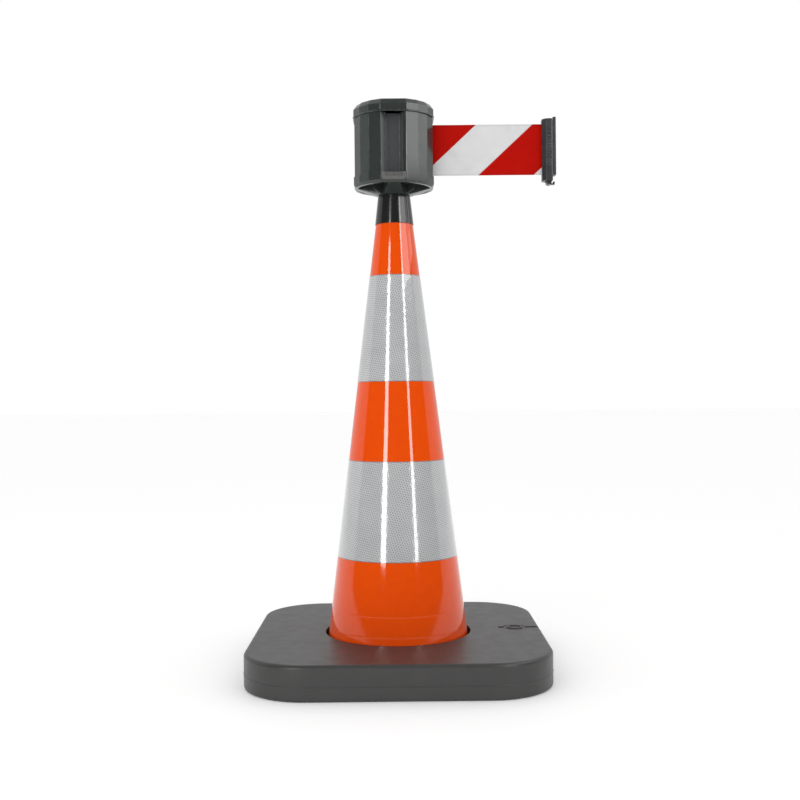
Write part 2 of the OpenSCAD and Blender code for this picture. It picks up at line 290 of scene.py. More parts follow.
@dataclass(frozen=True)
class Moulded:
    """Moulded plastic or rubber with a fine grain, colour drift and worn edges."""

    name: str
    colour: Triple
    shine: Tuple[float, float]
    drift: float = 0.12
    drift_size: float = 0.06
    grain_size: float = 0.0009
    grain_depth: float = 0.00002
    ripple_size: float = 0.018
    ripple_depth: float = 0.00006
    rubbed: Triple = (0.2, 0.2, 0.2)
    rub: float = 0.35
    dust: float = 0.0
    specular: float = 0.5
    recess: Optional[Triple] = None
    recess_radius: float = 0.0612
    soil: Triple = (0.34, 0.31, 0.27)

    @lru_cache(maxsize=None)
    def material(self) -> bpy.types.Material:
        """Builds the material once."""
        shader = Shader(self.name)
        drift = shader.noise(self.drift_size, 4.0)
        streaks = shader.noise(self.drift_size / 8, 3.0)
        tone = 1 + (drift * 1.4 + streaks * 0.6 - 1.0) * (2 * self.drift)
        out = (shader.x * shader.x + shader.y * shader.y).root()
        inside = out.step(self.recess_radius, self.recess_radius - MM)
        plain = shader.shade(shader.mix(inside, self.colour, self.recess or self.colour), tone)
        edges = shader.stored("rub") * shader.noise(0.012, 5.0).step(0.35, 0.7) * self.rub
        worn = shader.mix(edges, plain, self.rubbed)
        settled = shader.noise(0.03, 6.0).step(0.42, 0.75) * self.dust
        base = shader.mix(settled, worn, self.soil)
        matt = shader.noise(self.drift_size / 3, 5.0).step(0.3, 0.75)
        low, high = self.shine
        roughness = low + matt * (high - low) + edges * 0.2 + settled * 0.3
        grain = shader.cells(self.grain_size) * self.grain_depth
        ripple = shader.noise(self.ripple_size, 1.0) * self.ripple_depth
        return shader.finish(
            Base_Color=base,
            Roughness=roughness.least(1.0),
            Specular_IOR_Level=self.specular,
            Normal=shader.relief((grain + ripple) / MM, MM),
        )


@dataclass(frozen=True)
class ConePlastic:
    """Glossy cone plastic: mottled, with turned rings, scuffs and painted shade at the foot."""

    name: str = "cone plastic"
    colour: Triple = (0.80, 0.074, 0.001)
    deep: Triple = (0.76, 0.068, 0.001)
    scuffed: Triple = (0.78, 0.2, 0.08)
    foot_shade: Triple = (0.3, 0.05, 0.02)
    ring_z: float = 0.095
    foot_z: float = 0.058

    @lru_cache(maxsize=None)
    def material(self) -> bpy.types.Material:
        """Builds the material once."""
        shader = Shader(self.name)
        around = shader.y.bearing(shader.x)
        flow = shader.noise(0.09, 3.0, shader.vector(around * 0.12, shader.z * 0.35, 0.0))
        mottle = shader.noise(0.011, 5.0)
        share = (flow * 0.55 + mottle * 0.45).step(0.38, 0.66)
        plastic = shader.mix(share, self.colour, self.deep)
        cells = shader.cells(0.0035, shader.vector(around * 0.09, shader.z * 0.4, 0.0))
        scuffs = cells.step(0.08, 0.0) * shader.noise(0.05, 4.0).step(0.56, 0.7)
        marked = shader.mix(scuffs * 0.1, plastic, self.scuffed)
        # painted shade: the plastic darkens towards the foot, down into the base's well; the foot
        # is also rougher
        foot = shader.z.step(self.foot_z, 0.02) * shader.noise(0.02, 5.0).step(0.3, 0.7)
        roughness = 0.045 + mottle.step(0.35, 0.75) * 0.02 + scuffs * 0.08 + foot * 0.1
        low_ring = shader.z.band(self.foot_z * 1.1, 0.0012) * 0.6
        rings = shader.z.band(self.ring_z, 0.0016) + low_ring
        waves = shader.noise(0.08, 1.0, shader.vector(around * 0.1, shader.z * 0.25, 0.0))
        height = rings * 0.035 + waves * 0.06 + mottle * 0.003
        return shader.finish(
            Base_Color=shader.mix(foot * 0.2, marked, self.foot_shade),
            Roughness=roughness,
            Normal=shader.relief(height, MM),
        )


@dataclass(frozen=True)
class ReflectiveFilm:
    """Reflective film wrapped on a cone: rows of small dark cells under a clear face."""

    name: str
    foot: float
    foot_radius: float
    taper: float
    height: float
    pitch: float = 0.0041
    tilt: float = -1.5
    colour: Triple = (0.47, 0.48, 0.485)
    cell: Triple = (0.14, 0.145, 0.15)
    rim: Triple = (0.16, 0.12, 0.11)

    def dots(self, across: Value, along: Value) -> Value:
        """Every other row of the round cells' hexagonal lattice.

        Args:
            across: Distance along the rows, in pitches.
            along: Distance across the rows, in pairs of rows.

        Returns:
            1 inside a cell and 0 outside.
        """
        row = across.fraction() - 0.5
        column = (along.fraction() - 0.5) * math.sqrt(3)
        return (row * row + column * column).root().step(0.29, 0.17)

    @lru_cache(maxsize=None)
    def material(self) -> bpy.types.Material:
        """Builds the material once."""
        shader = Shader(self.name)
        slope = math.atan(self.taper)
        apex = self.foot_radius / self.taper
        slant = (apex - shader.z) / math.cos(slope)
        turn = shader.y.bearing(-1 * shader.x) * math.sin(slope)
        flat_x = slant * turn.sine() / self.pitch
        flat_y = slant * turn.cosine() / self.pitch
        tilt = math.radians(self.tilt)
        across = flat_x * math.cos(tilt) + flat_y * math.sin(tilt)
        along = (flat_y * math.cos(tilt) - flat_x * math.sin(tilt)) / math.sqrt(3)
        cells = self.dots(across, along).most(self.dots(across + 0.5, along + 0.5))
        cloud = shader.noise(0.035, 4.0)
        pale = shader.shade(self.colour, cloud * 0.24 + 0.9)
        printed = shader.mix(cells * 0.8, pale, self.cell)
        low = (shader.z - self.foot) / MM
        high = (self.foot + self.height - shader.z) / MM
        rim = low.least(high).step(1.6, 0.7)
        place = shader.vector(flat_x * self.pitch, flat_y * self.pitch, 0.0)
        quilt = shader.cells(0.0042, place)
        pucker = shader.noise(0.006, 1.5, place)
        height = quilt * 0.1 + pucker * 0.28 - cells * 0.01
        return shader.finish(
            Base_Color=shader.mix(rim * 0.75, printed, self.rim),
            Roughness=0.1 + cloud.step(0.35, 0.7) * 0.04 + cells * 0.06,
            Coat_Weight=1.0,
            Coat_Roughness=0.04,
            Normal=shader.relief(height, MM),
        )


@dataclass(frozen=True)
class StripedWebbing:
    """Woven belt with slanting stripes printed on it."""

    name: str = "striped webbing"
    first_edge: float = 0.1366
    stripe: float = 0.0924
    slant: float = 1.078
    top: float = 0.88475
    width: float = 0.0835
    red: Triple = (0.44, 0.004, 0.001)
    white: Triple = (0.66, 0.66, 0.665)
    soiled: Triple = (0.42, 0.41, 0.4)
    warp: float = 0.0011
    weft: float = 0.0013
    blur: float = 0.0012

    @lru_cache(maxsize=None)
    def material(self) -> bpy.types.Material:
        """Builds the material once."""
        shader = Shader(self.name)
        out = (shader.x * shader.x + shader.y * shader.y).root()
        height = shader.stored("belt_height")
        bleed = (shader.noise(0.0016, 3.0) - 0.5) * self.blur
        along = out + (self.top - height) * self.slant + bleed
        phase = ((along - self.first_edge) / (2 * self.stripe) + 20.0).fraction()
        edge = self.blur / (2 * self.stripe)
        red = phase.step(0.5 - edge, 0.5 + edge) * phase.step(1.0, 1.0 - edge)
        warp = (out / self.warp * math.tau).sine()
        weft = ((height + out * 0.5) / self.weft * math.tau).sine()
        weave = (warp * weft) * 0.5 + 0.5
        cloth = shader.noise(0.02, 5.0)
        soil = shader.noise(0.045, 4.0).step(0.5, 0.8)
        smudged = shader.mix(soil * 0.25, self.white, self.soiled)
        printed = shader.mix(red, smudged, self.red)
        toned = shader.shade(printed, weave * 0.1 + cloth * 0.16 + 0.87)
        half = self.width / 2
        hem = abs(height - (self.top - half)).step(half - 0.0035, half - 0.0022)
        return shader.finish(
            Base_Color=shader.shade(toned, 1 - hem * 0.1),
            Roughness=0.62 + weave * 0.12 + soil * 0.1,
            Specular_IOR_Level=0.03,
            Normal=shader.relief(weave * (1 - hem * 0.5) * 0.08 + cloth * 0.05, MM),
        )


@dataclass(frozen=True)
class Steel:
    """Plated or drawn steel with fine scratches and dull patches."""

    name: str
    colour: Triple
    shine: Tuple[float, float]
    tarnish: Triple = (0.2, 0.17, 0.13)
    tarnished: float = 0.2

    @lru_cache(maxsize=None)
    def material(self) -> bpy.types.Material:
        """Builds the material once."""
        shader = Shader(self.name)
        drawn = shader.vector(shader.x * 14, shader.y * 14, shader.z)
        scratches = shader.noise(0.004, 4.0, drawn)
        patches = shader.noise(0.005, 5.0).step(0.45, 0.75)
        bright = shader.shade(self.colour, scratches * 0.3 + 0.85)
        low, high = self.shine
        return shader.finish(
            Base_Color=shader.mix(patches * self.tarnished, bright, self.tarnish),
            Metallic=1 - patches * self.tarnished * 0.5,
            Roughness=low + patches * (high - low) + scratches * 0.08,
            Normal=shader.relief(scratches, 0.02 * MM),
        )


@dataclass(frozen=True)
class StudioFloor:
    """The studio's plain pale floor."""

    name: str = "studio floor"
    colour: Triple = (0.93, 0.93, 0.93)
    glow: float = 0.12

    @lru_cache(maxsize=None)
    def material(self) -> bpy.types.Material:
        """Builds the material once."""
        shader = Shader(self.name)
        tone = shader.noise(0.4, 2.0) * 0.01 + 0.995
        return shader.finish(
            Base_Color=shader.shade(self.colour, tone),
            Roughness=0.7,
            Specular_IOR_Level=0.2,
            Emission_Color=(1.0, 1.0, 1.0, 1.0),
            Emission_Strength=self.glow,
        )


BASE_PLASTIC = Moulded(
    "base plastic", (0.038, 0.0367, 0.036), (0.38, 0.43), drift=0.025, grain_size=0.0013,
    grain_depth=0.00004, ripple_depth=0.000008, rubbed=(0.17, 0.165, 0.16), dust=0.015,
)
PLUG_PLASTIC = Moulded("plug plastic", (0.045, 0.045, 0.043), (0.42, 0.55), dust=0.05)
COLLAR_PLASTIC = Moulded(
    "collar plastic", (0.014, 0.015, 0.014), (0.12, 0.18), drift=0.08, ripple_depth=0.00001,
    ripple_size=0.03, grain_depth=0.000004, rubbed=(0.1, 0.1, 0.1), rub=0.3,
)
HEAD_PLASTIC = Moulded(
    "head plastic", (0.03, 0.037, 0.034), (0.14, 0.2), drift=0.08, ripple_size=0.03,
    ripple_depth=0.00001, grain_depth=0.000005, rubbed=(0.15, 0.16, 0.155), rub=0.4,
)
HOUSING_PLASTIC = replace(HEAD_PLASTIC, name="housing plastic", recess=(0.066, 0.069, 0.073))
# lighter grey: partly the slot blocks' own grey, partly a painted highlight of their up-facing
# faces
BLOCK_PLASTIC = replace(HEAD_PLASTIC, name="slot block plastic", colour=(0.13, 0.127, 0.123))
CLIP_PLASTIC = Moulded(
    "clip plastic", (0.03, 0.03, 0.034), (0.3, 0.42), ripple_depth=0.00004,
    grain_depth=0.00001, rubbed=(0.14, 0.14, 0.15), rub=0.4,
)
SEAL_RUBBER = Moulded("seal rubber", (0.012, 0.012, 0.012), (0.6, 0.75), rub=0.1)
NYLON = Moulded("drum nylon", (0.62, 0.61, 0.55), (0.35, 0.5), rubbed=(0.5, 0.48, 0.42))
BALLAST = Moulded(
    "ballast fill", (0.42, 0.5, 0.52), (0.1, 0.25), ripple_size=0.05, ripple_depth=0.0004,
    grain_depth=0.0,
)
CONE_PLASTIC = ConePlastic()
WEBBING = StripedWebbing()
ZINC = Steel("zinc plated steel", (0.62, 0.62, 0.6), (0.24, 0.42))
BLACK_STEEL = Steel("blackened steel", (0.07, 0.07, 0.073), (0.32, 0.5), tarnished=0.1)
SPRING_STEEL = Steel("spring steel", (0.36, 0.37, 0.4), (0.2, 0.36), tarnished=0.12)


# ---- mesh tools ----


def arc(
    centre: Point, radius: float, start: float, end: float, steps: int = 6
) -> List[Point]:
    """Points along an arc.

    Args:
        centre: The arc's centre.
        radius: Its radius.
        start: The first point's angle in degrees.
        end: The last point's angle in degrees.
        steps: How many steps the arc is made in.

    Returns:
        The points in order.
    """
    angles = [math.radians(start + (end - start) * i / steps) for i in range(steps + 1)]
    x, y = centre
    return [(x + radius * math.cos(a), y + radius * math.sin(a)) for a in angles]


def keep(name: str, bm: bmesh.types.BMesh) -> Form:
    """Turns a finished bmesh into an object in the scene.

    Args:
        name: The piece's name.
        bm: The mesh, which is freed.

    Returns:
        The new object.
    """
    bmesh.ops.remove_doubles(bm, verts=bm.verts, dist=WELD)
    loose = [edge for edge in bm.edges if not edge.link_faces]
    bmesh.ops.delete(bm, geom=loose, context="EDGES")
    bmesh.ops.recalc_face_normals(bm, faces=bm.faces)
    mesh = bpy.data.meshes.new(name)
    bm.to_mesh(mesh)
    bm.free()
    form = bpy.data.objects.new(name, mesh)
    bpy.context.scene.collection.objects.link(form)
    return form


def stitch(bm: bmesh.types.BMesh, rings: Sequence[Sequence[Triple]], closed: bool) -> None:
    """Joins rings of points with faces.

    Args:
        bm: The mesh that they are added to.
        rings: Rings of equally many points.
        closed: Whether the last ring joins the first; if not, both get a cap.
    """
    made = [[bm.verts.new(point) for point in ring] for ring in rings]
    count = len(made[0])
    followers = made[1:] + made[:1] if closed else made[1:]
    for here, there in zip(made, followers):
        for j in range(count):
            k = (j + 1) % count
            bm.faces.new((here[j], there[j], there[k], here[k]))
    if not closed:
        bm.faces.new(made[0])
        bm.faces.new(made[-1])


def turned(
    name: str,
    outline: Sequence[Point],
    steps: int = 160,
    reach: Optional[Callable[[float, float, float], float]] = None,
) -> Form:
    """Turns a closed outline round the Z axis.

    Args:
        name: The piece's name.
        outline: Its section, as radius and height.
        steps: How many steps the turn is made in.
        reach: Gives a point's radius from its radius, height and angle.

    Returns:
        The turned form.
    """
    rings = []
    for i in range(steps):
        angle = math.tau * i / steps
        ring = []
        for radius, height in outline:
            out = reach(radius, height, angle) if reach and radius > WELD else radius
            ring.append((out * math.cos(angle), out * math.sin(angle), height))
        rings.append(ring)
    bm = bmesh.new()
    stitch(bm, rings, closed=True)
    return keep(name, bm)


def block(name: str, low: Triple, high: Triple) -> Form:
    """A plain block between two corners, used as a cutter."""
    bm = bmesh.new()
    bmesh.ops.create_cube(bm, size=1.0)
    size = Vector(high) - Vector(low)
    middle = (Vector(high) + Vector(low)) / 2
    place = Matrix.Translation(middle) @ Matrix.Diagonal(size.to_4d())
    bmesh.ops.transform(bm, matrix=place, verts=bm.verts)
    return keep(name, bm)


def swept(name: str, wire: Sequence[Vector], radius: float, sides: int = 8) -> Form:
    """A round wire along a line of points.

    Args:
        name: The piece's name.
        wire: The line's points.
        radius: The wire's radius.
        sides: How many sides its section has.

    Returns:
        The wire, closed at both ends.
    """
    rings = []
    for i, point in enumerate(wire):
        ahead = (wire[min(i + 1, len(wire) - 1)] - wire[max(i - 1, 0)]).normalized()
        side = ahead.cross(Vector((0, 0, 1))).normalized()
        up = side.cross(ahead)
        turn = [math.tau * j / sides for j in range(sides)]
        rings.append([point + (side * math.cos(a) + up * math.sin(a)) * radius for a in turn])
    bm = bmesh.new()
    stitch(bm, rings, closed=False)
    return keep(name, bm)


def ordered(mesh: bpy.types.Mesh) -> bpy.types.Mesh:
    """A mesh's points and faces in the order of their places.

    A boolean gives them in an order that varies from run to run, and the rounding of
    edges depends on it.

    Args:
        mesh: The mesh, which is removed.

    Returns:
        The same shape in an order that doesn't vary.
    """
    places = [tuple(point.co) for point in mesh.vertices]
    order = sorted(range(len(places)), key=places.__getitem__)
    rank = {old: new for new, old in enumerate(order)}
    faces = []
    for polygon in mesh.polygons:
        corners = [rank[corner] for corner in polygon.vertices]
        first = corners.index(min(corners))
        faces.append(tuple(corners[first:] + corners[:first]))
    fresh = bpy.data.meshes.new(mesh.name)
    fresh.from_pydata([places[old] for old in order], [], sorted(faces))
    bpy.data.meshes.remove(mesh)
    return fresh


def cut(form: Form, *cutters: Form) -> Form:
    """Takes the cutters' forms away from a form and removes them."""
    for cutter in cutters:
        boolean = form.modifiers.new("cut", "BOOLEAN")
        boolean.operation = "DIFFERENCE"
        boolean.solver = "EXACT"
        boolean.use_hole_tolerant = True
        boolean.object = cutter
        bpy.context.view_layer.update()
        graph = bpy.context.evaluated_depsgraph_get()
        mesh = bpy.data.meshes.new_from_object(form.evaluated_get(graph))
        form.modifiers.clear()
        form.data = ordered(mesh)
        bpy.data.objects.remove(cutter)
    return form


def moved(form: Form, matrix: Matrix) -> Form:
    """Moves a form's mesh, so that its object stays at the origin."""
    form.data.transform(matrix)
    return form


def soften(
    form: Form, width: float, least_turn: float = 12.0, least_edge: float = 2.2
) -> Form:
    """Rounds a form's edges and marks the roundings as places that wear.

    Args:
        form: The form, which is changed.
        width: How far each edge is cut back, in metres.
        least_turn: Edges that turn by fewer degrees stay as they are.
        least_edge: Edges shorter than this many millimetres stay as they are.

    Returns:
        The same form.
    """
    bm = bmesh.new()
    bm.from_mesh(form.data)
    bmesh.ops.remove_doubles(bm, verts=bm.verts, dist=SLIVER)
    bmesh.ops.dissolve_limit(
        bm, angle_limit=math.radians(FLAT), verts=bm.verts, edges=bm.edges, delimit={"NORMAL"}
    )
    rub = bm.loops.layers.float.new("rub")
    chosen = [
        edge for edge in bm.edges
        if len(edge.link_faces) == 2
        and edge.calc_face_angle(0.0) > math.radians(least_turn)
        and edge.calc_length() > least_edge * MM
    ]
    result = bmesh.ops.bevel(
        bm, geom=chosen, offset=width, offset_type="OFFSET", segments=2, profile=0.6,
        affect="EDGES", clamp_overlap=False,
    )
    for face in result["faces"]:
        for corner in face.loops:
            corner[rub] = 1.0
    bmesh.ops.recalc_face_normals(bm, faces=bm.faces)
    bm.to_mesh(form.data)
    bm.free()
    return form


def smooth(form: Form, angle: float = 32.0) -> Form:
    """Shades a form smooth between its sharp edges, with its flat faces kept flat."""
    form.data.shade_smooth()
    form.data.set_sharp_from_angle(angle=math.radians(angle))
    even = form.modifiers.new("even normals", "WEIGHTED_NORMAL")
    even.keep_sharp = True
    return form


def copied(name: str, node: str) -> Form:
    """A copy of a CAD node's mesh under a new name, to be worked further."""
    mesh = frame["nodes"][node].data.copy()
    mesh.name = name
    if mesh.has_custom_normals:
        mesh.attributes.remove(mesh.attributes["custom_normal"])
    form = bpy.data.objects.new(name, mesh)
    bpy.context.scene.collection.objects.link(form)
    return form


def store(form: Form, name: str, numbers: Sequence[float]) -> None:
    """Keeps one number for each point of a form's mesh."""
    layer = form.data.attributes.new(name, "FLOAT", "POINT")
    layer.data.foreach_set("value", list(numbers))


# ---- sub-assemblies ----


class SubAssembly:
    """A group of pieces that ride on one body."""

    body = ""

    def add(self, form: Form, slot: str, finish: Any, *nodes: str, ride: bool = True) -> Form:
        """Dresses a piece and sets what it rides on and stands for.

        Args:
            form: The piece.
            slot: The record's material slot; not used.
            finish: Its finish.
            nodes: The CAD nodes that it stands for.
            ride: Whether it rides on this group's body.

        Returns:
            The same piece.
        """
        form.data.materials.clear()
        form.data.materials.append(finish.material())
        for polygon in form.data.polygons:
            polygon.material_index = 0
        if ride:
            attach(form, self.body)
        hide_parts(*nodes)
        LOG.info("%s: %d faces on %s", form.name, len(form.data.polygons), self.body)
        return form

    def dress(self, finish: Any, *nodes: str) -> None:
        """Gives CAD nodes that stay in sight or inside a finish."""
        for node in nodes:
            for place in frame["nodes"][node].material_slots:
                place.material = finish.material()
            LOG.info("%s: CAD node in %s", node, finish.name)


@dataclass
class BallastBase(SubAssembly):
    """The hollow square base with the well that the cone stands in."""

    corner_mm: float = 100.0
    top_edge_mm: float = 6.0
    low_edge_mm: float = 5.0
    wall_mm: float = 4.0
    bead_mm: float = 21.9
    bead_half_mm: float = 1.1
    bead_out_mm: float = 0.5
    well_mm: float = 118.8
    well_floor_mm: float = 20.0
    well_lip_mm: float = 1.2
    plug_disc_mm: float = 18.5
    plug_gap_mm: float = 1.0
    fill_mm: float = 14.0
    spout_mm: float = 17.0
    pocket_mm: float = 4.0
    pocket_lip_mm: float = 0.8
    pocket_wall_mm: float = 6.0
    groove_mm: float = 9.0
    trough_mm: Tuple[float, float] = (32.0, 68.0)
    notch_mm: Tuple[float, float] = (27.0, 15.0)
    notch_deep_mm: float = 4.0
    skim_mm: float = 0.02
    clear_mm: float = 10.0
    body = "base"

    def slab(self, name: str, section: Sequence[Point], corner_steps: int = 28) -> Form:
        """Sweeps a section round the base's square plan.

        Args:
            name: The form's name.
            section: Points from the bottom up, as inset from the side and height.
            corner_steps: How many steps each corner is made in.

        Returns:
            The closed slab.
        """
        half = self.half
        rings = []
        for inset, height in section:
            radius = (self.corner_mm - inset) * MM
            middle = half - self.corner_mm * MM
            ring = []
            for quarter in range(4):
                turn = 90.0 * quarter
                corner = Matrix.Rotation(math.radians(turn), 2) @ Vector((middle, middle))
                ring += arc(tuple(corner), radius, turn, turn + 90, corner_steps)
            rings.append([(x, y, height * MM) for x, y in ring])
        bm = bmesh.new()
        stitch(bm, rings, closed=False)
        return keep(name, bm)

    def section(self) -> List[Point]:
        """The base's outer section, with its rounded edges and parting bead."""
        top, edge, low = self.height_mm, self.top_edge_mm, self.low_edge_mm
        bead = []
        for share in (-1, -2 / 3, -1 / 3, 0, 1 / 3, 2 / 3, 1):
            out = self.bead_out_mm * math.cos(math.pi / 2 * share)
            bead.append((-out, self.bead_mm + self.bead_half_mm * share))
        foot = [(low - x, low + z) for x, z in arc((0, 0), low, -90, 0)]
        rim = [(edge - x, top - edge + z) for x, z in arc((0, 0), edge, 0, 90, 12)]
        return foot + bead + rim

    def cavity(self) -> Form:
        """The hollow inside, clear of the well and the filling hole."""
        wall, top = self.wall_mm, self.height_mm - self.wall_mm
        edge = self.top_edge_mm - wall
        rim = [(wall + edge - x, top - edge + z) for x, z in arc((0, 0), edge, 0, 90, 4)]
        hollow = self.slab("cavity", [(wall, wall)] + rim, 10)
        tall = self.height_mm * MM
        x, y = self.plug
        place = Matrix.Translation((x, y, 0))

        def keep_off(name: str, radius_mm: float, floor_mm: float, steps: int) -> Form:
            """A cylinder that the hollow stays out of, from a floor to the top."""
            radius, floor = radius_mm * MM, floor_mm * MM
            outline = [(0, floor), (radius, floor), (radius, tall), (0, tall)]
            return turned(name, outline, steps)

        seat_floor = self.height_mm - 2 * self.pocket_mm
        well = keep_off("well_wall", self.well_mm + wall, self.well_floor_mm - wall, 96)
        seat = keep_off("seat", self.plug_disc_mm + self.pocket_wall_mm, seat_floor, 48)
        neck = keep_off("neck", self.fill_mm + wall, self.height_mm - self.spout_mm, 48)
        width, (back, ahead) = self.groove_mm * MM, self.trough_mm
        trough = block(
            "trough",
            (x - back * MM, y - width, seat_floor * MM - wall * MM),
            (x + ahead * MM, y + width, tall),
        )
        return cut(hollow, well, moved(seat, place), moved(neck, place), trough)

    def openings(self) -> List[Form]:
        """Cutters for the well, the plug's pocket and the finger groove."""
        top, over = self.height_mm, self.height_mm + self.clear_mm
        lip, bend = self.well_lip_mm, 2.0
        well = [(0.0, self.well_floor_mm)]
        well += arc((self.well_mm - bend, self.well_floor_mm + bend), bend, -90, 0, 4)
        well += [(self.well_mm + lip - x, top - lip + z) for x, z in arc((0, 0), lip, 0, 90)]
        well += [(self.well_mm + lip, over), (0.0, over)]
        floor, disc = top - self.pocket_mm, self.plug_disc_mm + self.plug_gap_mm
        edge = self.pocket_lip_mm
        seat = [(0.0, floor), (disc, floor)]
        seat += [(disc + edge - x, top - edge + z) for x, z in arc((0, 0), edge, 0, 90, 3)]
        seat += [(disc + edge, over), (0.0, over)]
        spout = top - self.spout_mm - 1
        neck = [(0.0, spout), (self.fill_mm, spout), (self.fill_mm, top), (0.0, top)]
        x, y = self.plug
        place = Matrix.Translation((x, y, 0))
        half, skim = self.groove_mm / 2 * MM, self.skim_mm * MM
        back, front = self.notch_mm
        groove_top = (top + 5) * MM
        return [
            turned("well", [(r * MM, z * MM) for r, z in well], 192),
            moved(turned("seat", [(r * MM, z * MM) for r, z in seat], 96), place),
            moved(turned("neck", [(r * MM, z * MM) for r, z in neck], 64), place),
            block(
                "groove",
                (x, y - half, floor * MM + skim),
                (self.half + 0.01, y + half, groove_top),
            ),
            block(
                "notch",
                (x - back * MM, y - half + skim, (floor - self.notch_deep_mm) * MM),
                (x - front * MM, y + half - skim, groove_top),
            ),
        ]

    def build(self) -> None:
        """Builds the base, its fill and their finishes."""
        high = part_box("base_shell")[1]
        disc_low, disc_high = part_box("fill_plug")
        self.height_mm = high.z / MM
        self.half = high.x - self.bead_out_mm * MM
        self.plug = (disc_low.x + self.plug_disc_mm * MM, (disc_low.y + disc_high.y) / 2)
        shell = self.slab("ballast_base", self.section())
        shell = cut(shell, self.cavity(), *self.openings())
        shell = smooth(soften(shell, 0.3 * MM, 40.0, 1.5), 30.0)
        self.add(shell, "base_plastic", BASE_PLASTIC, "base_shell")
        self.dress(BALLAST, "ballast_fill")


@dataclass
class FillPlug(SubAssembly):
    """The plug of the filling hole, with its seal."""

    body = "plug"

    def build(self) -> None:
        """Builds the plug and dresses its seal."""
        plug = smooth(soften(copied("filling_plug", "fill_plug"), 0.35 * MM, 40.0, 0.5))
        self.add(plug, "plug_plastic", PLUG_PLASTIC, "fill_plug")
        self.dress(SEAL_RUBBER, "plug_seal")


@dataclass
class Cone(SubAssembly):
    """The tapered shell and the two reflective sleeves on it."""

    wall_mm: float = 3.0
    rim_mm: float = 1.2
    rim_drop_mm: float = 0.35
    wave_mm: float = 0.12
    film_mm: float = 0.45
    film_gap_mm: float = 0.05
    film_edge_mm: float = 0.15
    lap_mm: float = 0.3
    lap_turn: float = 0.16
    lap_bearing: float = math.pi / 2 + 0.2
    rows: int = 48
    film_rows: int = 16
    body = "cone"

    def radius(self, height: float) -> float:
        """The shell's outer radius at a height, both in metres."""
        return self.foot_radius - self.taper * height

    def shell(self) -> Form:
        """The open cone with rounded rims and the slight unevenness of a moulding."""
        foot, tip = self.low.z, self.high.z
        heights = [foot + (tip - foot) * i / self.rows for i in range(self.rows + 1)]
        outer = [(self.radius(z), z) for z in heights]
        inner = [(self.radius(z) - self.wall_mm * MM, z) for z in reversed(heights)]
        rim, drop = self.rim_mm * MM, self.rim_drop_mm * MM
        outer[0] = (outer[0][0] - drop, foot + drop)
        outer.insert(0, (outer[0][0] - rim, foot))
        outer[-1] = (outer[-1][0] - drop, tip - drop)
        outer.append((outer[-1][0] - rim * 0.5, tip))

        def uneven(radius: float, height: float, angle: float) -> float:
            """The radius with a shallow wave round the cone."""
            wave = noise.noise((math.cos(angle) * 1.5, math.sin(angle) * 1.5, height * 3))
            return radius + wave * self.wave_mm * MM

        return smooth(turned("cone_shell_moulded", outer + inner, 224, uneven))

    def sleeve(self, name: str, node: str) -> Form:
        """A film sleeve whose ends overlap in a seam at the back.

        Args:
            name: The piece's name.
            node: The CAD band that it stands for.

        Returns:
            The sleeve.
        """
        low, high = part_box(node)
        under, over = self.film_gap_mm * MM, self.film_mm * MM
        edge = self.film_edge_mm * MM
        rows, tall = self.film_rows, high.z - low.z
        heights = [low.z + tall * i / rows for i in range(rows + 1)]
        outer = [(self.radius(z) + over, z) for z in heights]
        outer[0] = (outer[0][0], low.z + edge)
        outer[-1] = (outer[-1][0], high.z - edge)
        foot, tip = ((self.radius(z) + over - edge, z) for z in (low.z, high.z))
        inner = [(self.radius(z) + under, z) for z in (high.z, low.z)]

        def lapped(radius: float, height: float, angle: float) -> float:
            """The radius, raised where the sleeve's end lies over its start."""
            if radius < self.radius(height) + 2 * under:
                return radius
            on_lap = abs(angle - self.lap_bearing) < self.lap_turn / 2
            return radius + (self.lap_mm * MM if on_lap else 0.0)

        return smooth(turned(name, [foot] + outer + [tip] + inner, 256, lapped), 25.0)

    def build(self) -> None:
        """Builds the shell and both sleeves."""
        self.low, self.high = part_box("cone_shell")
        self.taper = (self.high.x - self.tip_radius()) / (self.high.z - self.low.z)
        self.foot_radius = self.high.x + self.taper * self.low.z
        self.add(self.shell(), "cone_orange", CONE_PLASTIC, "cone_shell")
        for name, node in (("lower_sleeve", "lower_band"), ("upper_sleeve", "upper_band")):
            low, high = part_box(node)
            tall = high.z - low.z
            film = ReflectiveFilm(name + " film", low.z, self.foot_radius, self.taper, tall)
            self.add(self.sleeve(name, node), "reflective_film", film, node)

    def tip_radius(self) -> float:
        """The shell's outer radius at its tip, read from the CAD mesh."""
        top = self.high.z - 0.5 * MM
        points = frame["nodes"]["cone_shell"].data.vertices
        return max(math.hypot(p.co.x, p.co.y) for p in points if p.co.z > top)


@dataclass
class ScrewHead:
    """A small domed head with a cross recess, along +Z from its seat."""

    radius_mm: float
    height_mm: float
    shank_mm: float
    length_mm: float
    brim: float = 0.45
    slot_reach: float = 0.62
    slot_depth: float = 0.55
    slot_width: float = 0.13

    def form(self, name: str) -> Form:
        """Builds the screw with its seat at the origin and its shank below."""
        r, h = self.radius_mm * MM, self.height_mm * MM
        shank, length = self.shank_mm * MM, self.length_mm * MM
        brim = h * self.brim
        dome = [(x, brim + z * (1 - self.brim) * h / r) for x, z in arc((0, 0), r, 0, 90)[:-1]]
        outline = [(0, -length), (shank, -length), (shank, 0), (r, 0)] + dome + [(0, h)]
        screw = turned(name, outline, 40)
        wide, deep, thin = r * self.slot_reach, h * self.slot_depth, r * self.slot_width
        slots = [
            block("slot", (-wide, -thin, h - deep), (wide, thin, h * 2)),
            block("slot", (-thin, -wide, h - deep), (thin, wide, h * 2)),
        ]
        return smooth(cut(screw, *slots), 28.0)


